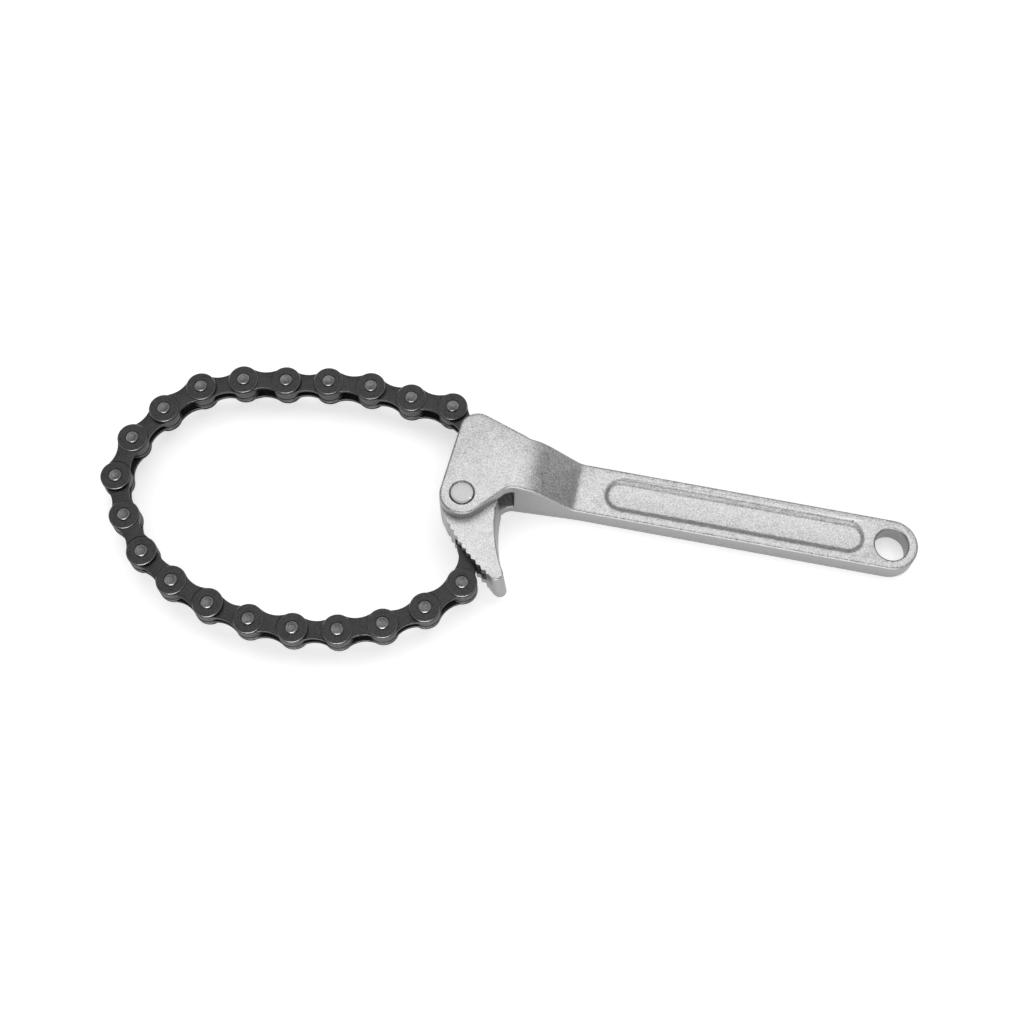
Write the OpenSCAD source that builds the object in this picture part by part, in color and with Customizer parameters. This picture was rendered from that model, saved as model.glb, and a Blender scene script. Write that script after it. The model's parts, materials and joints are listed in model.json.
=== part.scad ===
// Chain oil filter wrench. A forged handle ends in a forked head. A toothed cam turns on a rivet
// between the cheeks of the head. A half inch roller chain is pinned in the head at one end and
// in the cam at the other, and lies in an open loop that goes around the filter.
// The origin is on the rivet's axis at the flat underside. X runs along the handle, Z is up.

/* [Handle] */
// Distance along the handle from the cam rivet to the hang hole
hole_reach = 124; // [100:1:180]
// Width of the handle bar
bar_w = 15.4; // [13:0.2:17]
// Thickness of the handle bar
bar_t = 7.2; // [5.2:0.2:9]
// Sideways distance from the cam rivet to the middle line of the bar
bar_offset = 13; // [12:0.2:14]
// Diameter of the hang hole
hang_d = 9.6; // [5:0.2:11]
// Chamfer at both rims of the hang hole
hang_chamfer = 0.4; // [0.1:0.1:0.8]
// Width of the sunk panel in each face of the bar
panel_w = 10; // [5:0.2:11]
// Depth of the sunk panel
panel_depth = 1; // [0.4:0.1:2]
// Slant of the panel's walls, measured sideways
panel_slant = 1.3; // [0.4:0.1:1.6]
// Distance from the foot of the slope to the panel
panel_from_slope = 6.5; // [2:0.5:20]
// Distance from the panel to the axis of the hang hole
panel_to_hole = 7.8; // [7:0.2:20]

/* [Head] */
// Thickness of the head over both cheeks
head_t = 18.8; // [17:0.2:22]
// Width of the fork slot between the cheeks
slot_w = 10.8; // [10:0.2:13]
// Room in the slot behind the cam's hub
slot_room = 5; // [3:0.2:6]
// Room in the slot behind the chain's end link
slot_end_room = 3.6; // [1:0.2:6]
// Radius of the head around the cam rivet
pivot_boss_r = 6.5; // [5.5:0.1:7.5]
// Radius of the head around the chain's anchor pin
anchor_boss_r = 5.3; // [4.6:0.1:6.4]
// Place of the anchor pin along the handle
anchor_x = 0.4; // [-2:0.1:3]
// Place of the anchor pin across the handle
anchor_y = 20.4; // [19:0.1:23]
// Place along the handle where the shoulder meets the bar
shoulder_x = 16; // [14:0.2:19]
// Place along the handle where the throat's corner would be
throat_x = 12.5; // [11.5:0.1:14]
// Distance by which the bar's side stands out at the throat, from where it runs in to the slope's foot
throat_drop = 1; // [0.4:0.1:1.4]
// Radius in the throat between the head and the bar
throat_r = 4; // [2:0.2:5]
// Place along the handle where the head's top starts to slope down
slope_x = 13; // [11:0.5:16]
// Steepness of the slope from the head down to the bar, in degrees
slope_deg = 42; // [35:1:60]
// Radius over the top of the slope
slope_top_r = 15; // [8:0.5:18]
// Radius in the foot of the slope
slope_foot_r = 4; // [2:0.5:10]

/* [Cam] */
// Diameter of the cam rivet
rivet_d = 7; // [5:0.1:8]
// Height of the rivet's crown above the cheek
rivet_crown = 0.4; // [0.1:0.1:0.8]
// Countersink around the rivet's ends
rivet_sink = 0.3; // [0.1:0.1:0.6]
// Radius of the cam's hub
hub_r = 8.3; // [7.4:0.1:9]
// Place of the hub's middle along the handle, from the rivet
hub_x = 1.6; // [0:0.1:2.4]
// Place of the hub's middle across the handle, from the rivet
hub_y = 0.5; // [-0.5:0.1:1]
// Place of the cam's tip along the handle, from the rivet
tip_x = 14; // [12:0.2:16]
// Place of the cam's tip across the handle, from the rivet
tip_y = -20.6; // [-23:0.2:-19]
// Radius of the cam's tip
tip_r = 2; // [1.4:0.1:2.6]
// Radius of the cam's toothed face
face_r = 52; // [42:1:70]
// Radius of the cam's hollow back
back_r = 44; // [34:1:60]
// Number of notches in the toothed face
notches = 9; // [4:1:10]
// Distance from notch to notch
notch_pitch = 2.2; // [1.6:0.1:2.4]
// Depth of a notch
notch_depth = 0.6; // [0.3:0.1:1.2]
// Distance along the face from the tip's round to the first notch
notch_start = 1.6; // [1:0.1:3]
// Place of the chain's pin in the cam along the handle, from the rivet
cam_pin_x = 5.2; // [4.4:0.1:6.4]
// Place of the chain's pin in the cam across the handle, from the rivet
cam_pin_y = -11.8; // [-12.6:0.1:-11.4]

/* [Chain] */
// Distance from pin to pin
pitch = 12.7; // [12.2:0.1:13.4]
// Diameter of the chain's pins
pin_d = 3.6; // [3:0.1:4]
// Length of a link pin beyond the outer plates at each end
pin_proud = 0.5; // [0.2:0.1:1]
// Chamfer at the ends of the pins
pin_chamfer = 0.3; // [0.1:0.05:0.5]
// Thickness of the plates
plate_t = 1; // [0.8:0.05:1.2]
// Radius of the plates' round ends
plate_r = 4.4; // [4:0.1:4.6]
// Width of the plates at the waist
waist_w = 5.2; // [4:0.1:7]
// Height of the round raised pads on the outer plates
pad_h = 0.25; // [0.1:0.05:0.4]
// Width between the inner plates
inner_w = 2.4; // [2:0.1:3.2]
// Diameter of the collars on the inner plates
collar_d = 5; // [4.6:0.1:5.4]
// Diameter of the rollers
roller_d = 8.5; // [7.5:0.05:8.6]

/* [Clearances] */
// Gap around a pin that is pressed in
press_gap = 0.01; // [0.005:0.005:0.03]
// Gap around a pin or collar that something turns on
running_gap = 0.05; // [0.02:0.01:0.1]
// Gap beside a plate or roller
side_gap = 0.1; // [0.05:0.01:0.2]
// Gap between the cam and each cheek
cam_gap = 0.1; // [0.05:0.05:0.3]
// Room around the end link in the cam's pocket
pocket_room = 0.5; // [0.3:0.1:1]
// Metal left over the ends of the blind pins
blind_skin = 1.2; // [0.6:0.1:1.6]
// Distance by which blind pins stop short of their holes and of the underside
pin_short = 0.1; // [0.05:0.05:0.3]

/* [Hidden] */
$fn = 96;
// Bend of the chain at each pin as it lies, from the head round to the cam, in degrees
chain_bends = [40, -4, 10, 6, 0, 12, 24, 14, 24, 34, 12, 18, 12, 10, 10, 10, 10, 14, 14, 42];
// Swing that the end link has in the cam's pocket to each side, in degrees
pocket_swing = 9;
// Overshoot of cutting shapes past the faces that they cut
cut = 1;
// Depth by which lines and arcs cross the rounds that they run on from, instead of only touching them
dip = 0.01;
// Height allowed for the arc of the toothed face over its chord
face_bulge = 4;
// Share of the notch pitch that the mouth of a notch takes
notch_share = 0.92;
// Half of the span over which the side view is extruded
side_span = 60;
// Limits and halvings of the search for the bends that close the loop
ease_low = 0.8;
ease_high = 1.08;
ease_steps = 50;

link_count = len(chain_bends) + 1;
inner_count = (link_count + 1) / 2;
outer_count = (link_count - 1) / 2;
function two_digits(k) = str(k < 10 ? "0" : "", k);

// Plane geometry
function unit(v) = v / norm(v);
function along(a) = [cos(a), sin(a)];
function angle_of(v) = atan2(v.y, v.x);
// Point at distance rp from p and rq from q, on the left of the way from p to q
function meet(p, rp, q, rq) =
    let (d = norm(q - p), u = (q - p) / d, a = (rp * rp - rq * rq + d * d) / (2 * d))
    p + a * u + sqrt(rp * rp - a * a) * [-u.y, u.x];
// Direction from the middle of a circle to where its outer tangent with a second circle touches
function tangent_dir(c, r, c2, r2, side) =
    angle_of(c2 - c) + side * acos((r - r2) / norm(c2 - c));

// Heights and places in the head
middle = head_t / 2;
cheek_t = (head_t - slot_w) / 2;
cam_t = slot_w - 2 * cam_gap;
anchor = [anchor_x, anchor_y];
bar_low = bar_offset - bar_w / 2;
bar_high = bar_offset + bar_w / 2;
shoulder = [shoulder_x, bar_high];
throat = [throat_x, bar_low - throat_drop];
slot_r = norm([hub_x, hub_y]) + hub_r + slot_room;

// The slope in side view
slope_top = [slope_x, head_t - slope_top_r];
slope_dir = [cos(slope_deg), -sin(slope_deg)];
slope_out = [sin(slope_deg), cos(slope_deg)];
slope_start = slope_top + (slope_top_r - dip) * slope_out;
slope_run = (slope_start.y - bar_t - slope_foot_r * (1 - cos(slope_deg))) / sin(slope_deg);
slope_end = slope_start + slope_run * slope_dir;
slope_foot = slope_end + slope_foot_r * slope_out;
slope_corner = slope_end + slope_dir * (slope_end.y - bar_t) / sin(slope_deg);

// The cam in plan
hub = [hub_x, hub_y];
tip = [tip_x, tip_y];
cam_pin = [cam_pin_x, cam_pin_y];
face_mid = meet(hub, face_r - hub_r, tip, face_r - tip_r);
back_mid = meet(hub, back_r + hub_r, tip, back_r + tip_r);
hub_face = face_mid + (face_r - 2 * dip) * unit(hub - face_mid);
tip_face = face_mid + (face_r - 2 * dip) * unit(tip - face_mid);
hub_back = hub + (hub_r - 3 * dip) * unit(back_mid - hub);
tip_back = tip + (tip_r - 3 * dip) * unit(back_mid - tip);

// The chain as it lies. The bends are opened or closed alike until the loop ends on the cam's pin.
function turned(i) = i == 0 ? 0 : chain_bends[i - 1] + turned(i - 1);
turns = [for (i = [0:link_count - 1]) turned(i)];
function sum(v, i = 0) = i == len(v) ? [0, 0] : v[i] + sum(v, i + 1);
function span(ease) = pitch * sum([for (t = turns) along(ease * t)]);
function solved(low, high, want, n) =
    let (mid = (low + high) / 2)
    n == 0 ? mid
    : norm(span(mid)) > want ? solved(mid, high, want, n - 1)
    : solved(low, mid, want, n - 1);
ease = solved(ease_low, ease_high, norm(cam_pin - anchor), ease_steps);
first_heading = angle_of(cam_pin - anchor) - angle_of(span(ease));
headings = [for (t = turns) first_heading + ease * t];
function pin_at(i) = i == 0 ? anchor : pin_at(i - 1) + pitch * along(headings[i - 1]);
pins = [for (i = [0:link_count]) pin_at(i)];

// Widths across the chain
inner_half = inner_w / 2 + plate_t;
outer_face = inner_half + side_gap;
outer_half = outer_face + plate_t;
pin_half = outer_half + pad_h + pin_proud;
pocket_half = inner_half + 2 * side_gap;
pocket_r = plate_r + pocket_room;

// Fill of a corner at v with an arc around c that touches the corner's sides at s and t
module corner_fill(v, s, c, t, r) {
    deep = 1 + cut / r;
    difference() {
        polygon([c + deep * (v - c), c + deep * (s - c), c, c + deep * (t - c)]);
        translate(c) circle(r + dip);
    }
}

// The handle's outline from above, as tall as the head
module handle_plan() {
    pivot_r = pivot_boss_r - dip;
    anchor_r = anchor_boss_r - dip;
    left = tangent_dir([0, 0], pivot_r, anchor, anchor_r, 1);
    top = tangent_dir(anchor, anchor_r, shoulder, 0, 1);
    low = tangent_dir([0, 0], pivot_r, throat, 0, -1);
    wall_end = [slope_foot.x, bar_low + dip];
    wall_side = unit(wall_end - throat);
    throat_side = unit(pivot_r * along(low) - throat);
    throat_half = (360 + angle_of(throat_side) - angle_of(wall_side)) / 2;
    reach = throat_r / tan(180 - throat_half);
    union() {
        cylinder(h = head_t, r = pivot_boss_r);
        translate(anchor) cylinder(h = head_t, r = anchor_boss_r);
        linear_extrude(head_t) polygon([
            pivot_r * along(left),
            anchor + anchor_r * along(left),
            anchor + anchor_r * along(top),
            shoulder,
            [shoulder_x, bar_offset],
            [wall_end.x, bar_offset],
            wall_end,
            throat,
            pivot_r * along(low)]);
        linear_extrude(head_t) corner_fill(throat, throat + reach * throat_side,
            throat + reach * wall_side + throat_r * [wall_side.y, -wall_side.x],
            throat + reach * wall_side, throat_r);
        translate([throat_x, bar_low, 0]) cube([hole_reach - throat_x, bar_w, head_t]);
        translate([hole_reach, bar_offset, 0]) cylinder(h = head_t, r = bar_w / 2);
    }
}

// A side view drawn in X and Z, extruded across the whole handle
module across() {
    translate([0, side_span, 0]) rotate([90, 0, 0]) linear_extrude(2 * side_span) children();
}

// The handle's outline from the side, with the slope from the head down to the bar
module handle_side() {
    start = -2 * pivot_boss_r;
    union() {
        across() translate([start, 0]) square([slope_x - start, head_t]);
        across() translate([start, 0]) square([hole_reach + bar_w - start, bar_t]);
        across() intersection() {
            translate(slope_top) circle(slope_top_r);
            translate([slope_x, 0]) square(head_t);
        }
        across() polygon([[slope_x, 0], slope_top, slope_start, slope_corner, [slope_corner.x, 0]]);
        across() corner_fill(slope_corner, slope_end, slope_foot, [slope_foot.x, bar_t], slope_foot_r);
    }
}

// Sunk panel with slanted walls and round ends, cut down from z = 0
module panel_cut() {
    from = slope_foot.x + panel_from_slope + panel_w / 2;
    to = hole_reach - panel_to_hole - panel_w / 2;
    floor_half = panel_w / 2 - panel_slant;
    rim_half = panel_w / 2 + cut * panel_slant / panel_depth;
    for (x = [from, to])
        translate([x, bar_offset, -panel_depth])
            cylinder(h = panel_depth + cut, r1 = floor_half, r2 = rim_half);
    translate([from, bar_offset, 0]) rotate([90, 0, 90]) linear_extrude(to - from)
        polygon([[-floor_half, -panel_depth], [floor_half, -panel_depth],
            [rim_half, cut], [-rim_half, cut]]);
}

module fork_slot() {
    translate([0, 0, cheek_t]) linear_extrude(slot_w) union() {
        circle(slot_r);
        translate([-2 * slot_r, -2 * slot_r])
            square([2 * slot_r + anchor_x + plate_r + slot_end_room, 4 * slot_r]);
    }
}

module handle_forging() {
    color("silver") difference() {
        intersection() {
            handle_plan();
            handle_side();
        }
        fork_slot();
        translate([0, 0, -cut]) cylinder(h = head_t + 2 * cut, d = rivet_d + 2 * press_gap);
        for (side = [0, 1])
            translate([0, 0, side * head_t]) mirror([0, 0, side]) translate([0, 0, -cut])
                cylinder(h = rivet_sink + cut, r1 = rivet_d / 2 + rivet_sink + cut, r2 = rivet_d / 2);
        translate([anchor_x, anchor_y, -cut])
            cylinder(h = head_t - blind_skin + cut, d = pin_d + 2 * press_gap);
        translate([hole_reach, bar_offset, -cut]) cylinder(h = bar_t + 2 * cut, d = hang_d);
        for (side = [0, 1])
            translate([hole_reach, bar_offset, side * bar_t]) mirror([0, 0, side])
                translate([0, 0, -cut])
                    cylinder(h = hang_chamfer + cut, r1 = hang_d / 2 + hang_chamfer + cut,
                        r2 = hang_d / 2);
        translate([0, 0, bar_t]) panel_cut();
        mirror([0, 0, 1]) panel_cut();
    }
}

module cam_plan() {
    bulge = face_bulge * unit(tip_face - face_mid);
    difference() {
        union() {
            translate(hub) circle(hub_r);
            translate(tip) circle(tip_r);
            polygon([hub, hub_face, tip_face, tip, tip_back, hub_back]);
            intersection() {
                translate(face_mid) circle(face_r - dip);
                polygon([hub_face, hub_face + bulge, tip_face + bulge, tip_face]);
            }
        }
        translate(back_mid) circle(back_r + dip);
        face_notches();
    }
}

module face_notches() {
    tip_angle = angle_of(tip_face - face_mid);
    step = notch_pitch / face_r * 180 / PI;
    first = notch_start / face_r * 180 / PI + step / 2;
    half = notch_share * notch_pitch / 2;
    for (k = [0:notches - 1])
        translate(face_mid) rotate(tip_angle - first - k * step) translate([face_r, 0])
            polygon([[-notch_depth, 0], [0, -half], [notch_depth, -2 * half],
                [notch_depth, 2 * half], [0, half]]);
}

// Pocket in the toothed side of the cam for the chain's end link
module cam_pocket() {
    out = angle_of(pins[link_count - 1] - cam_pin);
    translate([0, 0, middle - pocket_half]) linear_extrude(2 * pocket_half)
        translate(cam_pin) union() {
            circle(pocket_r);
            for (swing = [-pocket_swing, 0, pocket_swing])
                rotate(out + swing) translate([0, dip - pocket_r])
                    square([2 * pitch, 2 * (pocket_r - dip)]);
        }
}

module cam_jaw() {
    low = cheek_t + cam_gap;
    color("gainsboro") difference() {
        translate([0, 0, low]) linear_extrude(cam_t) cam_plan();
        cam_pocket();
        translate([0, 0, low - cut]) cylinder(h = cam_t + 2 * cut, d = rivet_d + 2 * running_gap);
        translate([cam_pin.x, cam_pin.y, low - cut])
            cylinder(h = cam_t - blind_skin + cut, d = pin_d + 2 * press_gap);
    }
}

// Round bar along Z with chamfered ends
module chamfered_pin(d, low, high, chamfer) {
    translate([0, 0, low]) rotate_extrude()
        polygon([[0, 0], [d / 2 - chamfer, 0], [d / 2, chamfer],
            [d / 2, high - low - chamfer], [d / 2 - chamfer, high - low], [0, high - low]]);
}

// The rivet is flush with the underside and stands a crown above the upper cheek
module cam_rivet() {
    color("lightgray") rotate_extrude()
        polygon([[0, 0], [rivet_d / 2 - rivet_crown, 0], [rivet_d / 2, rivet_crown],
            [rivet_d / 2, head_t], [rivet_d / 2 - rivet_crown, head_t + rivet_crown],
            [0, head_t + rivet_crown]]);
}

module chain_anchor_pin() {
    color("dimgray") translate([anchor_x, anchor_y, 0])
        chamfered_pin(pin_d, pin_short, head_t - blind_skin - pin_short, pin_chamfer);
}

module cam_chain_pin() {
    low = cheek_t + cam_gap;
    color("dimgray") translate([cam_pin.x, cam_pin.y, 0])
        chamfered_pin(pin_d, low + pin_short, low + cam_t - blind_skin - pin_short, pin_chamfer);
}

// Outline of a plate from pin to pin along X, drawn in at the waist
module plate_outline() {
    half = pitch / 2;
    waist = waist_w / 2;
    // radius of the waist's arc, which touches both round ends
    waist_r = (half * half + waist * waist - plate_r * plate_r) / (2 * (plate_r - waist));
    touch = half * waist_r / (waist_r + plate_r);
    union() {
        circle(plate_r);
        translate([pitch, 0]) circle(plate_r);
        difference() {
            translate([half - touch, -plate_r]) square([2 * touch, 2 * plate_r]);
            for (side = [-1, 1]) translate([half, side * (waist + waist_r)]) circle(waist_r);
        }
    }
}

// Places children at link i, with its first pin at the origin and its second along X
module at_link(i) {
    translate([pins[i].x, pins[i].y, middle]) rotate(headings[i]) children();
}

module inner_plates(k) {
    collar_h = inner_w / 2 - side_gap;
    color("dimgray") at_link(2 * k) for (side = [0, 1]) mirror([0, 0, side])
        difference() {
            union() {
                translate([0, 0, inner_w / 2]) linear_extrude(plate_t) plate_outline();
                for (x = [0, pitch])
                    translate([x, 0, inner_w / 2 - collar_h]) cylinder(h = collar_h + plate_t / 2, d = collar_d);
            }
            for (x = [0, pitch])
                translate([x, 0, 0]) cylinder(h = inner_half + cut, d = pin_d + 2 * running_gap);
        }
}

module roller(k) {
    half = inner_w / 2 - side_gap;
    place = pins[2 * floor(k / 2) + k % 2];
    color("gray") translate([place.x, place.y, middle - half]) difference() {
        cylinder(h = 2 * half, d = roller_d);
        translate([0, 0, -cut]) cylinder(h = 2 * half + 2 * cut, d = collar_d + 2 * running_gap);
    }
}

module outer_plates(k) {
    color("darkslategray") at_link(2 * k + 1) for (side = [0, 1]) mirror([0, 0, side])
        difference() {
            union() {
                translate([0, 0, outer_face]) linear_extrude(plate_t) plate_outline();
                for (x = [0, pitch])
                    translate([x, 0, outer_face]) cylinder(h = plate_t + pad_h, r = plate_r);
            }
            for (x = [0, pitch])
                translate([x, 0, 0]) cylinder(h = pin_half, d = pin_d + 2 * press_gap);
        }
}

module link_pins(k) {
    color("darkgray") at_link(2 * k + 1) for (x = [0, pitch])
        translate([x, 0, 0]) chamfered_pin(pin_d, -pin_half, pin_half, pin_chamfer);
}

handle_forging();
cam_jaw();
cam_rivet();
chain_anchor_pin();
cam_chain_pin();
for (k = [0:inner_count - 1])
    inner_plates(k);
for (k = [0:2 * inner_count - 1])
    roller(k);
for (k = [0:outer_count - 1])
    outer_plates(k);
for (k = [0:outer_count - 1])
    link_pins(k);
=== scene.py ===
"""A chain oil filter wrench on a white table: its looks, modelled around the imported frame, in metres."""
import json
import math
import bpy
from mathutils import Matrix, Vector


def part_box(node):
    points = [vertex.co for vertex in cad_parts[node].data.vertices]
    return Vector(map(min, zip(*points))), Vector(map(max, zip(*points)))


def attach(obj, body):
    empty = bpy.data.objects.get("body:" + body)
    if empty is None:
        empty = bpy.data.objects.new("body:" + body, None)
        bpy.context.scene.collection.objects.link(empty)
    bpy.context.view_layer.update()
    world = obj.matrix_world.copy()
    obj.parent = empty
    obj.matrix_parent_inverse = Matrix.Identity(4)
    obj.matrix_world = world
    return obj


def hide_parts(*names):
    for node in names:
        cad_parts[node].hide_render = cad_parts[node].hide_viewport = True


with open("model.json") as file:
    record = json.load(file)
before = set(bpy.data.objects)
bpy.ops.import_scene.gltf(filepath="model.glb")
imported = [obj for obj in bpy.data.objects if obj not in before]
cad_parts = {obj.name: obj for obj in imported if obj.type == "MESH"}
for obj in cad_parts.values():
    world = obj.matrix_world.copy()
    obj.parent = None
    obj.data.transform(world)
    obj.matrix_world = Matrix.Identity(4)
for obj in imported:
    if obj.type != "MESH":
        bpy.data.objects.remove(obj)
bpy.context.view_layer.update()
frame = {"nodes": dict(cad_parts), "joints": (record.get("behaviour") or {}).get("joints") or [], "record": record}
MM = 0.001


def named(rows, name):
    """The place of a joint or mount of the frame."""
    return next(Vector(row["pos_m"]) for row in rows if row["name"] == name)


# Places of the rivet, of the hang hole and of the chain's pins, from the head round to the cam
rivet_place = named(frame["joints"], "cam_pivot")
hole_place = named(frame["record"]["mounts"], "hang_hole")
roller_nodes = sorted(name for name in frame["nodes"] if name.startswith("roller_"))
pin_places = [sum(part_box(name), Vector()) / 2 for name in roller_nodes]
LINKS = len(pin_places) - 1
PITCH = (pin_places[1] - pin_places[0]).length
PIN_SPOTS = ((-PITCH / 2, 0), (PITCH / 2, 0))

# Sizes of the chain
PLATE_R = 4.4 * MM
WAIST_HALF = 2.6 * MM
PLATE_T = 1.0 * MM
INNER_LEVEL = 1.2 * MM
OUTER_LEVEL = 2.3 * MM
PLATE_EDGE = 0.16 * MM
PAD_R = 4.36 * MM
PAD_H = 0.25 * MM
PAD_EDGE = 0.16 * MM
PAD_GROOVE = 0.25 * MM
GROOVE_DEPTH = 0.2 * MM
PIN_R = 1.8 * MM
PIN_HALF = 4.05 * MM
PIN_EDGE = 0.22 * MM
PIN_RING = 0.25 * MM
PIN_HOLLOW = 0.08 * MM
PIN_HOLLOW_SIDE = 0.2 * MM
PIN_RELIEF = 0.3 * MM
PRESS_GAP = 0.01 * MM
RUNNING_GAP = 0.05 * MM
COLLAR_R = 2.5 * MM
COLLAR_END = 0.1 * MM
ROLLER_R = 4.25 * MM
ROLLER_HALF = 1.1 * MM
ROLLER_EDGE = 0.25 * MM

# Sizes of the handle's soft edges, and of the zones in which each kind lies
HANDLE_EDGE = 0.75 * MM
SLOT_EDGE = 0.35 * MM
PANEL_EDGE = 0.45 * MM
HOLE_EDGE = 0.2 * MM
RIVET_ZONE = 4.3 * MM
ANCHOR_ZONE = 2.2 * MM
HOLE_ZONE = 5.6 * MM
PANEL_START = 38 * MM
PANEL_TO_HOLE = 7 * MM
PANEL_HALF = 5.6 * MM
SLOT_REACH = 20 * MM
SLOT_MARGIN = MM

# Sizes of the cam
CAM_EDGE = 0.45 * MM
CAM_TIP_R = 2 * MM
CAM_HUB = Vector((1.6 * MM, 0.5 * MM))
CAM_DRAFT = Vector((1.4 * MM, -1.5 * MM, 0))
CAM_BORE_ZONE = 3.8 * MM
CAM_UNDERSIDE = 0.1 * MM
CAM_EDGE_START = 2 * MM

# Sizes of the rivet's head
RIVET_EDGE = 0.5 * MM
RIVET_RING = 0.17 * MM
RIVET_STEP = 0.9 * MM
RIVET_DOME = 0.15 * MM
RIVET_DOME_SHARES = (0.6, 0.4)
RIVET_CROWN = 0.35
RIVET_ROUND = 0.18 * MM

# Limits for merging points and for telling flat and sharp edges apart
MERGED = MM / 1000
FLAT = math.radians(0.3)
SHARP = math.radians(25)


# Modelling steps
def deselect():
    bpy.ops.object.select_all(action="DESELECT")


def take(piece):
    deselect()
    piece.select_set(True)
    bpy.context.view_layer.objects.active = piece


def edit(piece, action="SELECT", kind="VERT"):
    take(piece)
    bpy.context.tool_settings.mesh_select_mode = [kind == name for name in ("VERT", "EDGE", "FACE")]
    bpy.ops.object.mode_set(mode="EDIT")
    if action:
        bpy.ops.mesh.select_all(action=action)


def done():
    bpy.ops.object.mode_set(mode="OBJECT")


def finish_with(piece, kind, **settings):
    take(piece)
    modifier = piece.modifiers.new(kind.title(), kind)
    for name, value in settings.items():
        setattr(modifier, name, value)
    bpy.ops.object.modifier_apply(modifier=modifier.name)


def smooth(piece, degrees=35):
    take(piece)
    bpy.ops.object.shade_smooth_by_angle(angle=math.radians(degrees))


def round_edges(piece, width, segments=3, degrees=50):
    finish_with(piece, "BEVEL", width=width, segments=segments, limit_method="ANGLE",
                angle_limit=math.radians(degrees), use_clamp_overlap=False)


def cylinder(name, radius, low, high, places=((0, 0),), sides=72):
    """Round bars along Z at each place, joined in one object whose origin is the frame's."""
    bars = []
    for x, y in places:
        deselect()
        bpy.ops.mesh.primitive_cylinder_add(vertices=sides, radius=radius, depth=high - low,
                                            location=(x, y, (low + high) / 2))
        bars.append(bpy.context.object)
    for bar in bars:
        bar.select_set(True)
    if len(bars) > 1:
        bpy.ops.object.join()
    piece = bpy.context.object
    piece.name = name
    bpy.ops.object.transform_apply(location=True, rotation=True, scale=True)
    return piece


def combine(piece, other, how):
    finish_with(piece, "BOOLEAN", object=other, operation=how, solver="EXACT")
    bpy.data.objects.remove(other)


def pick(piece, items, kind, wanted):
    """Edit mode with only the vertices or faces selected that the test accepts."""
    edit(piece, "DESELECT", kind)
    done()
    for item in items:
        item.select = wanted(item)
    edit(piece, None, kind)


def bevel_edges(piece, wanted, width, segments=3):
    """Rounds the sharp edges whose middle the test accepts."""
    edit(piece, "DESELECT", "EDGE")
    bpy.ops.mesh.edges_select_sharp(sharpness=SHARP)
    done()
    for face in piece.data.polygons:
        face.select = False
    points = piece.data.vertices
    for edge in piece.data.edges:
        if edge.select:
            a, b = (points[i].co for i in edge.vertices)
            edge.select = wanted((a + b) / 2)
    edit(piece, None, "EDGE")
    bpy.ops.mesh.bevel(offset_type="OFFSET", offset=width, segments=segments, profile=0.5,
                       affect="EDGES", clamp_overlap=False)
    done()


def copied(node, name):
    """A merged copy of a CAD node, with its flat faces whole again."""
    source = frame["nodes"][node]
    piece = bpy.data.objects.new(name, source.data.copy())
    bpy.context.scene.collection.objects.link(piece)
    piece.data.materials.clear()
    edit(piece)
    bpy.ops.mesh.remove_doubles(threshold=MERGED)
    bpy.ops.mesh.dissolve_limited(angle_limit=FLAT)
    done()
    return piece


# Handle
def handle():
    piece = copied("handle_forging", "handle_body")
    cam_low, cam_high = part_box("cam_jaw")

    def near(point, place, radius):
        return (point.xy - place.xy).length < radius

    def in_bore(point):
        return near(point, rivet_place, RIVET_ZONE) or near(point, pin_places[0], ANCHOR_ZONE)

    def in_hole(point):
        return near(point, hole_place, HOLE_ZONE)

    def in_panel(point):
        along = PANEL_START < point.x < hole_place.x - PANEL_TO_HOLE
        return along and abs(point.y - hole_place.y) < PANEL_HALF

    def in_slot(point):
        between = cam_low.z - SLOT_MARGIN < point.z < cam_high.z + SLOT_MARGIN
        return between and point.x < SLOT_REACH

    def outline(point):
        return not (in_bore(point) or in_hole(point) or in_panel(point) or in_slot(point))

    bevel_edges(piece, outline, HANDLE_EDGE, 4)
    bevel_edges(piece, lambda p: in_slot(p) and not in_bore(p), SLOT_EDGE, 2)
    bevel_edges(piece, in_panel, PANEL_EDGE, 3)
    bevel_edges(piece, in_hole, HOLE_EDGE, 2)
    smooth(piece)
    return piece


# Cam
def cam():
    piece = copied("cam_jaw", "cam_body")
    low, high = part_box("cam_jaw")
    bores = [rivet_place, pin_places[-1]]
    hub = rivet_place.xy + CAM_HUB
    tip = Vector((high.x - CAM_TIP_R, low.y + CAM_TIP_R))

    def in_bore(point):
        return any((point.xy - bore.xy).length < CAM_BORE_ZONE for bore in bores)

    def behind(point):
        """True on the hollow back and around the tip."""
        way = tip - hub
        off = point.xy - hub
        return way.x * off.y - way.y * off.x > 0 or off.dot(way) > way.length_squared

    pick(piece, piece.data.vertices, "VERT",
         lambda v: v.co.z < low.z + CAM_UNDERSIDE and behind(v.co) and not in_bore(v.co))
    bpy.ops.transform.translate(value=CAM_DRAFT)
    done()
    bevel_edges(piece, lambda p: behind(p) and p.y < hub.y - CAM_EDGE_START and not in_bore(p), CAM_EDGE)
    smooth(piece)
    return piece


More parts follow.
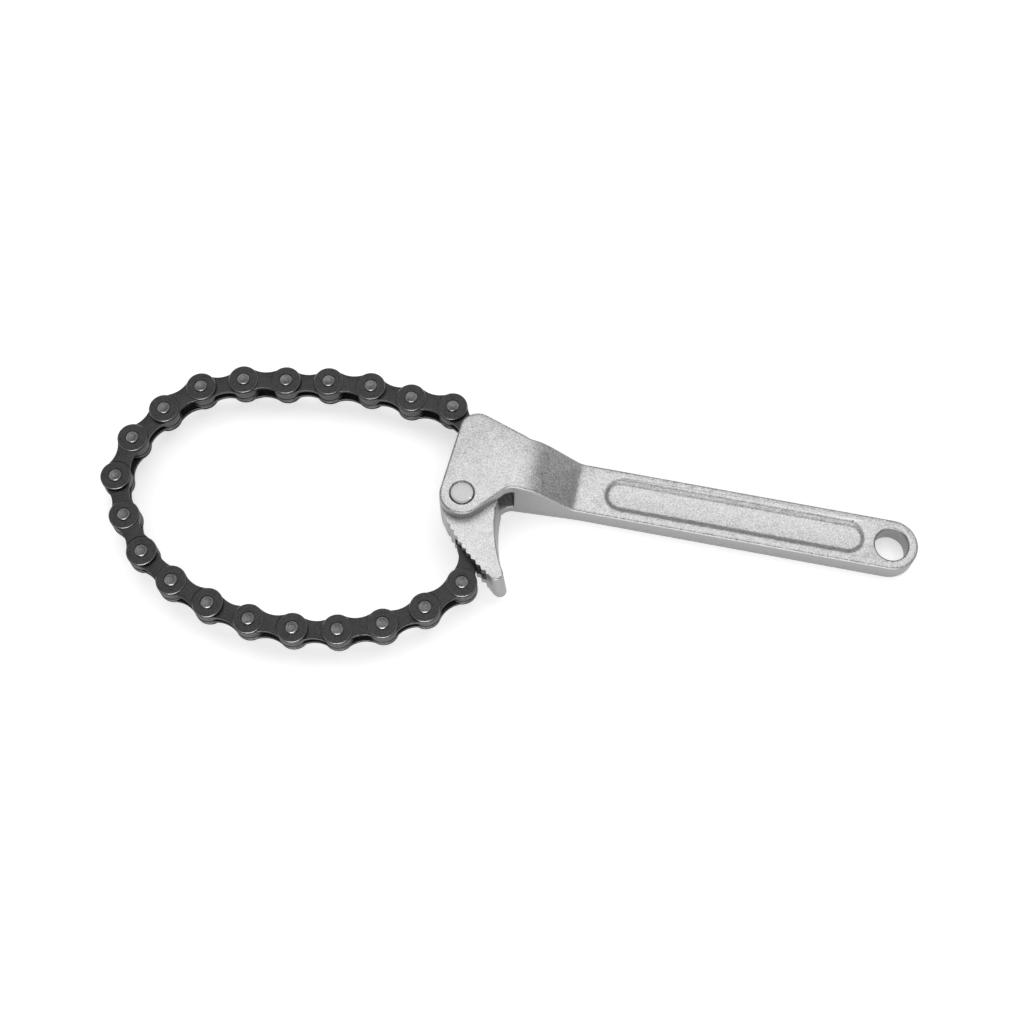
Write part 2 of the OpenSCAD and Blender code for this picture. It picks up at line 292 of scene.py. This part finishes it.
# Rivet
def rivet():
    low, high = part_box("cam_rivet")
    radius = (high.x - low.x) / 2
    shoulder, crown = (RIVET_DOME * share for share in RIVET_DOME_SHARES)
    piece = cylinder("rivet_head", radius, low.z, high.z - RIVET_DOME - RIVET_STEP, sides=96)
    pick(piece, piece.data.polygons, "FACE", lambda face: face.normal.z > 0.5)
    bpy.ops.mesh.inset(thickness=RIVET_RING)
    bpy.ops.mesh.extrude_region_move(TRANSFORM_OT_translate={"value": (0, 0, RIVET_STEP)})
    bpy.ops.mesh.inset(thickness=RIVET_EDGE)
    bpy.ops.transform.translate(value=(0, 0, shoulder))
    bpy.ops.mesh.inset(thickness=radius * RIVET_CROWN)
    bpy.ops.transform.translate(value=(0, 0, crown))
    done()
    round_edges(piece, RIVET_ROUND)
    smooth(piece, degrees=60)
    return piece


# Chain
def plate_blank(name, level):
    """A waisted plate from pin to pin along X, centred on the link, its inner face at the level."""
    half = PITCH / 2
    arc_r = (half * half + WAIST_HALF * WAIST_HALF - PLATE_R * PLATE_R) / (2 * (PLATE_R - WAIST_HALF))
    touch = math.atan2(WAIST_HALF + arc_r, half)
    upwards = (0, 0, 1)
    deselect()
    bpy.ops.mesh.primitive_plane_add(size=MM, location=(-half - PLATE_R, 0, level))
    piece = bpy.context.object
    piece.name = name
    bpy.ops.object.transform_apply(location=True)
    edit(piece)
    bpy.ops.mesh.merge(type="CENTER")
    bpy.ops.mesh.spin(steps=24, angle=math.pi - touch, center=(-half, 0, level), axis=upwards)
    bpy.ops.mesh.spin(steps=10, angle=touch - math.pi / 2, center=(0, WAIST_HALF + arc_r, level),
                      axis=upwards)
    done()
    finish_with(piece, "MIRROR", use_axis=(True, True, False), merge_threshold=MERGED)
    edit(piece)
    bpy.ops.mesh.edge_face_add()
    bpy.ops.mesh.extrude_region_move(TRANSFORM_OT_translate={"value": (0, 0, PLATE_T)})
    bpy.ops.mesh.select_all(action="SELECT")
    bpy.ops.mesh.normals_make_consistent(inside=False)
    done()
    round_edges(piece, PLATE_EDGE)
    return piece


def mirrored_pair(piece):
    finish_with(piece, "MIRROR", use_axis=(False, False, True), use_mirror_merge=False)
    edit(piece)
    bpy.ops.mesh.normals_make_consistent(inside=False)
    done()
    smooth(piece)
    return piece


def outer_pair():
    piece = plate_blank("outer_pair", OUTER_LEVEL)
    face = OUTER_LEVEL + PLATE_T
    past = 2 * PIN_HALF
    grooves = cylinder("grooves", PAD_R + PAD_GROOVE, face - GROOVE_DEPTH, past, PIN_SPOTS, sides=96)
    combine(piece, grooves, "DIFFERENCE")
    pads = cylinder("pads", PAD_R, OUTER_LEVEL + PLATE_T / 2, face + PAD_H, PIN_SPOTS, sides=96)
    round_edges(pads, PAD_EDGE, segments=1)
    combine(piece, pads, "UNION")
    holes = cylinder("holes", PIN_R + PRESS_GAP, 0, past, PIN_SPOTS)
    combine(piece, holes, "DIFFERENCE")
    relief = cylinder("relief", PIN_R + PIN_RELIEF, face, past, PIN_SPOTS)
    combine(piece, relief, "DIFFERENCE")
    return mirrored_pair(piece)


def inner_pair():
    piece = plate_blank("inner_pair", INNER_LEVEL)
    collars = cylinder("collars", COLLAR_R, COLLAR_END, INNER_LEVEL + PLATE_T / 2, PIN_SPOTS)
    combine(piece, collars, "UNION")
    holes = cylinder("holes", PIN_R + RUNNING_GAP, -PIN_HALF, PIN_HALF, PIN_SPOTS)
    combine(piece, holes, "DIFFERENCE")
    return mirrored_pair(piece)


def pin_pair():
    piece = cylinder("pin_pair", PIN_R, -PIN_HALF, PIN_HALF, PIN_SPOTS)
    round_edges(piece, PIN_EDGE, segments=1)
    pick(piece, piece.data.polygons, "FACE", lambda face: abs(face.normal.z) > 0.999)
    bpy.ops.mesh.inset(thickness=PIN_RING, use_individual=True)
    bpy.ops.mesh.inset(thickness=PIN_HOLLOW_SIDE, depth=-PIN_HOLLOW, use_individual=True)
    done()
    smooth(piece)
    return piece


def roller():
    piece = cylinder("roller", ROLLER_R, -ROLLER_HALF, ROLLER_HALF, sides=96)
    bore = cylinder("bore", COLLAR_R + RUNNING_GAP, -2 * ROLLER_HALF, 2 * ROLLER_HALF)
    combine(piece, bore, "DIFFERENCE")
    round_edges(piece, ROLLER_EDGE)
    smooth(piece)
    return piece


def link_frame(i):
    """From a link's own middle, with its pins along X, to its place in the loop."""
    start, end = pin_places[i], pin_places[i + 1]
    way = end - start
    return Matrix.Translation((start + end) / 2) @ Matrix.Rotation(math.atan2(way.y, way.x), 4, "Z")


def dress(piece, material, body, slot, *nodes):
    piece.data.materials.clear()
    piece.data.materials.append(material)
    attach(piece, body)
    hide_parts(*nodes)


def put(pattern, name, place, material, body, slot, node):
    """A copy of a pattern, moved to its place in the loop and dressed."""
    piece = bpy.data.objects.new(name, pattern.data.copy())
    bpy.context.scene.collection.objects.link(piece)
    piece.data.transform(place)
    dress(piece, material, body, slot, node)


# Finishes: the pointiness over which an edge shows wear and a painted highlight, and a span that no edge reaches
WEAR_AND_HIGHLIGHT_SPAN = (0.54, 0.64)
NO_EDGE_WEAR_AND_HIGHLIGHT = (2, 3)
WORN_ROUGHNESS = 0.28
# How upright the normal of a 45 degree rim is, and how far it may differ from that; such rims get a painted
# highlight
RIM_LEVEL = math.sqrt(0.5)
RIM_SPREAD = 0.15
GRAIN_HEIGHT = 0.1 * MM
GRAINS_ACROSS_BLOTCH = 5


# Shader helpers
def socket(group, name, way, kind, value=None):
    made = group.interface.new_socket(name=name, in_out=way, socket_type=kind)
    if value is not None:
        made.default_value = value


def add(tree, kind, **settings):
    node = tree.nodes.new(kind)
    for name, value in settings.items():
        setattr(node, name, value)
    return node


def link(tree, out_socket, in_socket):
    tree.links.new(out_socket, in_socket)


def grain_group():
    """Fine grain of a blasted and plated forging: a shade from 0 to 1 and a height."""
    group = bpy.data.node_groups.new("satin grain", "ShaderNodeTree")
    socket(group, "Grains per metre", "INPUT", "NodeSocketFloat", 2200)
    socket(group, "Blotches per metre", "INPUT", "NodeSocketFloat", 420)
    socket(group, "Shade", "OUTPUT", "NodeSocketFloat")
    socket(group, "Height", "OUTPUT", "NodeSocketFloat")
    inputs = add(group, "NodeGroupInput")
    outputs = add(group, "NodeGroupOutput")
    place = add(group, "ShaderNodeTexCoord")
    grain = add(group, "ShaderNodeTexNoise")
    grain.inputs["Detail"].default_value = 2
    grain.inputs["Roughness"].default_value = 0.65
    blotch = add(group, "ShaderNodeTexNoise")
    blotch.inputs["Detail"].default_value = 3
    mixed = add(group, "ShaderNodeMix", data_type="FLOAT")
    mixed.inputs["Factor"].default_value = 0.2
    for texture, count in ((grain, "Grains per metre"), (blotch, "Blotches per metre")):
        link(group, place.outputs["Object"], texture.inputs["Vector"])
        link(group, inputs.outputs[count], texture.inputs["Scale"])
    link(group, grain.outputs["Fac"], mixed.inputs["A"])
    link(group, blotch.outputs["Fac"], mixed.inputs["B"])
    link(group, mixed.outputs["Result"], outputs.inputs["Shade"])
    link(group, grain.outputs["Fac"], outputs.inputs["Height"])
    return group


def wear_and_highlight_group():
    """Masks of convex edges, which show wear and a painted highlight, of 45 degree rims, which get a painted
    highlight, and of upright walls, which get painted shade and light.
    """
    group = bpy.data.node_groups.new("edge wear and painted highlight", "ShaderNodeTree")
    socket(group, "Low", "INPUT", "NodeSocketFloat", 0.52)
    socket(group, "High", "INPUT", "NodeSocketFloat", 0.62)
    socket(group, "Painted rim highlight share", "INPUT", "NodeSocketFloat", 0)
    socket(group, "Edge wear and painted highlight", "OUTPUT", "NodeSocketFloat")
    socket(group, "Painted wall shading", "OUTPUT", "NodeSocketFloat")
    inputs = add(group, "NodeGroupInput")
    outputs = add(group, "NodeGroupOutput")
    shape = add(group, "ShaderNodeNewGeometry")
    # Convex edges by pointiness, for edge wear with a painted highlight
    convex = add(group, "ShaderNodeMapRange", interpolation_type="SMOOTHSTEP")
    link(group, shape.outputs["Pointiness"], convex.inputs["Value"])
    link(group, inputs.outputs["Low"], convex.inputs["From Min"])
    link(group, inputs.outputs["High"], convex.inputs["From Max"])
    parts = add(group, "ShaderNodeSeparateXYZ")
    level = add(group, "ShaderNodeMath", operation="ABSOLUTE")
    # Upright walls picked by their normal, for painted shade and light
    wall_shading = add(group, "ShaderNodeMapRange", interpolation_type="SMOOTHSTEP")
    wall_shading.inputs["From Min"].default_value = 0.9
    wall_shading.inputs["From Max"].default_value = 0.3
    link(group, shape.outputs["Normal"], parts.inputs["Vector"])
    link(group, parts.outputs["Z"], level.inputs[0])
    link(group, level.outputs["Value"], wall_shading.inputs["Value"])
    # 45 degree rims picked by their normal, for a painted highlight
    rim = add(group, "ShaderNodeMath", operation="COMPARE")
    rim.inputs[1].default_value = RIM_LEVEL
    rim.inputs[2].default_value = RIM_SPREAD
    link(group, level.outputs["Value"], rim.inputs[0])
    edge = add(group, "ShaderNodeMath", operation="MULTIPLY_ADD", use_clamp=True)
    link(group, rim.outputs["Value"], edge.inputs[0])
    link(group, inputs.outputs["Painted rim highlight share"], edge.inputs[1])
    link(group, convex.outputs["Result"], edge.inputs[2])
    link(group, edge.outputs["Value"], outputs.inputs["Edge wear and painted highlight"])
    link(group, wall_shading.outputs["Result"], outputs.inputs["Painted wall shading"])
    return group


GRAIN = grain_group()
WEAR_AND_HIGHLIGHT = wear_and_highlight_group()


def metal(name, dark, light, wear_and_highlight_colour, painted_wall_shading, rough, spread, grains, bump, wear_and_highlight_span=WEAR_AND_HIGHLIGHT_SPAN, painted_rim_highlight=0):
    """A metal whose colour and roughness follow its grain, with edge wear and painted highlights on its edges, and
    painted shade and light on its walls.
    """
    material = bpy.data.materials.new(name)
    material.use_nodes = True
    tree = material.node_tree
    shader = tree.nodes["Principled BSDF"]
    shader.inputs["Metallic"].default_value = 1
    grain = add(tree, "ShaderNodeGroup", node_tree=GRAIN)
    grain.inputs["Grains per metre"].default_value = grains
    grain.inputs["Blotches per metre"].default_value = grains / GRAINS_ACROSS_BLOTCH
    edge = add(tree, "ShaderNodeGroup", node_tree=WEAR_AND_HIGHLIGHT)
    edge.inputs["Low"].default_value, edge.inputs["High"].default_value = wear_and_highlight_span
    edge.inputs["Painted rim highlight share"].default_value = painted_rim_highlight
    contrast = add(tree, "ShaderNodeMapRange")
    contrast.inputs["From Min"].default_value = 0.3
    contrast.inputs["From Max"].default_value = 0.7
    shade = add(tree, "ShaderNodeMix", data_type="RGBA")
    shade.inputs["A"].default_value = (dark, dark, dark, 1)
    shade.inputs["B"].default_value = (light, light, light, 1)
    # Painted shade and light on upright walls
    wall_shading_mix = add(tree, "ShaderNodeMix", data_type="RGBA")
    wall_shading_mix.inputs["B"].default_value = (painted_wall_shading, painted_wall_shading, painted_wall_shading, 1)
    # Edge wear with a painted highlight on convex edges, and a painted highlight on 45 degree rims
    colour = add(tree, "ShaderNodeMix", data_type="RGBA")
    colour.inputs["B"].default_value = (wear_and_highlight_colour, wear_and_highlight_colour, wear_and_highlight_colour, 1)
    roughness = add(tree, "ShaderNodeMapRange")
    roughness.inputs["To Min"].default_value = rough - spread
    roughness.inputs["To Max"].default_value = rough + spread
    polished = add(tree, "ShaderNodeMix", data_type="FLOAT")
    polished.inputs["B"].default_value = WORN_ROUGHNESS
    relief = add(tree, "ShaderNodeBump")
    relief.inputs["Strength"].default_value = bump
    relief.inputs["Distance"].default_value = GRAIN_HEIGHT
    link(tree, grain.outputs["Shade"], contrast.inputs["Value"])
    link(tree, contrast.outputs["Result"], shade.inputs["Factor"])
    link(tree, shade.outputs["Result"], wall_shading_mix.inputs["A"])
    link(tree, edge.outputs["Painted wall shading"], wall_shading_mix.inputs["Factor"])
    link(tree, wall_shading_mix.outputs["Result"], colour.inputs["A"])
    link(tree, edge.outputs["Edge wear and painted highlight"], colour.inputs["Factor"])
    link(tree, colour.outputs["Result"], shader.inputs["Base Color"])
    link(tree, contrast.outputs["Result"], roughness.inputs["Value"])
    link(tree, roughness.outputs["Result"], polished.inputs["A"])
    link(tree, edge.outputs["Edge wear and painted highlight"], polished.inputs["Factor"])
    link(tree, polished.outputs["Result"], shader.inputs["Roughness"])
    link(tree, grain.outputs["Height"], relief.inputs["Height"])
    link(tree, relief.outputs["Normal"], shader.inputs["Normal"])
    return material


# Edge colours are wear with a painted highlight on the forging's and rivet's edges, and a painted highlight on the
# rims of the plates and pins.
# Wall colours are painted shade and light: darker than the faces on the forging, cam and outer plates, lighter on
# the rivet, inner plates and pins.
SATIN = metal("satin plated forging", dark=0.22, light=0.76, wear_and_highlight_colour=0.86, painted_wall_shading=0.35,
              rough=0.44, spread=0.12, grains=2300, bump=0.7)
CAM = metal("satin plated cam", dark=0.26, light=0.78, wear_and_highlight_colour=0.86, painted_wall_shading=0.37,
            rough=0.44, spread=0.12, grains=2300, bump=0.6, wear_and_highlight_span=NO_EDGE_WEAR_AND_HIGHLIGHT)
RIVET = metal("satin rivet", dark=0.33, light=0.46, wear_and_highlight_colour=0.76, painted_wall_shading=0.48,
              rough=0.4, spread=0.06, grains=2600, bump=0.15)
# The outer and inner plates are one black oxide; these two copies differ only in painted rim highlights and
# painted wall shade and light.
OUTERS = metal("black oxide outer plates", dark=0.018, light=0.08, wear_and_highlight_colour=0.28, painted_wall_shading=0.02,
               rough=0.46, spread=0.12, grains=2600, bump=0.7, wear_and_highlight_span=NO_EDGE_WEAR_AND_HIGHLIGHT, painted_rim_highlight=1)
INNERS = metal("black oxide inner plates", dark=0.018, light=0.08, wear_and_highlight_colour=0.16, painted_wall_shading=0.085,
               rough=0.46, spread=0.12, grains=2600, bump=0.7, wear_and_highlight_span=NO_EDGE_WEAR_AND_HIGHLIGHT, painted_rim_highlight=1)
ROLLERS = metal("dark oxide rollers", dark=0.05, light=0.14, wear_and_highlight_colour=0.2, painted_wall_shading=0.09,
                rough=0.42, spread=0.08, grains=2600, bump=0.3, wear_and_highlight_span=NO_EDGE_WEAR_AND_HIGHLIGHT)
PINS = metal("bright pin ends", dark=0.03, light=0.23, wear_and_highlight_colour=0.36, painted_wall_shading=0.3,
             rough=0.4, spread=0.1, grains=3000, bump=0.3, wear_and_highlight_span=NO_EDGE_WEAR_AND_HIGHLIGHT, painted_rim_highlight=1)

# Assembly
dress(handle(), SATIN, "handle", "satin_forging", "handle_forging")
dress(cam(), CAM, "cam", "satin_forging", "cam_jaw")
dress(rivet(), RIVET, "handle", "satin_forging", "cam_rivet")
for node in ("chain_anchor_pin", "cam_chain_pin"):
    hidden_pin = frame["nodes"][node]
    hidden_pin.data.materials.clear()
    hidden_pin.data.materials.append(PINS)

patterns = {"outer": outer_pair(), "inner": inner_pair(), "pins": pin_pair(), "roller": roller()}
for i in range(LINKS):
    body = f"link_{i + 1:02d}"
    number = f"{i // 2 + 1:02d}"
    if i % 2:
        put(patterns["outer"], f"outer_pair_{number}", link_frame(i), OUTERS, body, "chain_plates",
            f"outer_plates_{number}")
        put(patterns["pins"], f"pin_pair_{number}", link_frame(i), PINS, body, "chain_pins",
            f"link_pins_{number}")
    else:
        put(patterns["inner"], f"inner_pair_{number}", link_frame(i), INNERS, body, "chain_plates",
            f"inner_plates_{number}")
        for end in (i, i + 1):
            count = f"{end + 1:02d}"
            put(patterns["roller"], f"chain_roller_{count}", Matrix.Translation(pin_places[end]), ROLLERS,
                f"roller_{count}", "chain_rollers", f"roller_{count}")
for pattern in patterns.values():
    bpy.data.objects.remove(pattern)

# Camera, at the photograph's angle
CAMERA_TURN = math.radians(11.24)
CAMERA_RISE = math.radians(68)
CAMERA_REACH = 460 * MM
CAMERA_AIM = Vector((14.74, -0.88, 13.2)) * MM
CAMERA_LENS = 56.25
forward = Vector((-math.sin(CAMERA_TURN), math.cos(CAMERA_TURN), 0))
right = Vector((forward.y, -forward.x, 0))
up = Vector((0, 0, 1))
view = forward * math.cos(CAMERA_RISE) - up * math.sin(CAMERA_RISE)
camera = bpy.data.objects.new("camera", bpy.data.cameras.new("camera"))
camera.data.sensor_width = 36
camera.data.lens = CAMERA_LENS
camera.data.clip_start = 0.01
camera.location = CAMERA_AIM - CAMERA_REACH * view
camera.rotation_euler = (math.pi / 2 - CAMERA_RISE, 0, CAMERA_TURN)
bpy.context.scene.collection.objects.link(camera)
bpy.context.scene.camera = camera


# Light
def softbox(name, aim, offset, width, depth, power):
    """A rectangular lamp that stands off from the place at which it points."""
    lamp = bpy.data.lights.new(name, "AREA")
    lamp.shape = "RECTANGLE"
    lamp.size = width
    lamp.size_y = depth
    lamp.energy = power
    box = bpy.data.objects.new(name, lamp)
    box.location = aim + offset
    box.rotation_euler = (-offset).to_track_quat("-Z", "Y").to_euler()
    bpy.context.scene.collection.objects.link(box)


middle = Vector((15 * MM, -5 * MM, 0))
behind_middle = middle + forward * 0.28 + right * 0.06
softbox("overhead softbox", behind_middle, up * 0.75, width=1.1, depth=0.55, power=3.45)
softbox("fill softbox", middle, up * 0.6 - forward * 0.75, width=0.9, depth=0.3, power=1.05)
softbox("front softbox", middle, up * 0.26 - forward * 0.9, width=0.9, depth=0.25, power=3.6)

# Room, dim around the object and white in the view
ROOM_LIGHT = 0.36
ROOM_IN_VIEW = 1
world = bpy.data.worlds.new("studio")
bpy.context.scene.world = world
world.use_nodes = True
sky = world.node_tree
sky_rays = add(sky, "ShaderNodeLightPath")
sky_strength = add(sky, "ShaderNodeMapRange")
sky_strength.inputs["To Min"].default_value = ROOM_LIGHT
sky_strength.inputs["To Max"].default_value = ROOM_IN_VIEW
link(sky, sky_rays.outputs["Is Camera Ray"], sky_strength.inputs["Value"])
link(sky, sky_strength.outputs["Result"], sky.nodes["Background"].inputs["Strength"])
sky.nodes["Background"].inputs["Color"].default_value = (1, 1, 1, 1)

# Table, lifted to white in the view and less so in the metal
TABLE_SIZE = 1.1
TABLE_IN_VIEW = 0.5
TABLE_IN_METAL = 0.45
deselect()
bpy.ops.mesh.primitive_plane_add(size=TABLE_SIZE, location=(middle.x, middle.y, 0))
floor = bpy.context.object
floor.name = "table"
white = bpy.data.materials.new("white table")
white.use_nodes = True
table = white.node_tree
table_shader = table.nodes["Principled BSDF"]
table_shader.inputs["Base Color"].default_value = (0.8, 0.8, 0.8, 1)
table_shader.inputs["Roughness"].default_value = 0.9
table_shader.inputs["Specular IOR Level"].default_value = 0
table_shader.inputs["Emission Color"].default_value = (1, 1, 1, 1)
table_rays = add(table, "ShaderNodeLightPath")
mirrored = add(table, "ShaderNodeMath", operation="MULTIPLY")
mirrored.inputs[1].default_value = TABLE_IN_METAL
lift = add(table, "ShaderNodeMath", operation="MULTIPLY_ADD")
lift.inputs[1].default_value = TABLE_IN_VIEW
link(table, table_rays.outputs["Is Glossy Ray"], mirrored.inputs[0])
link(table, table_rays.outputs["Is Camera Ray"], lift.inputs[0])
link(table, mirrored.outputs["Value"], lift.inputs[2])
link(table, lift.outputs["Value"], table_shader.inputs["Emission Strength"])
floor.data.materials.append(white)

bpy.context.scene.view_settings.view_transform = "Standard"
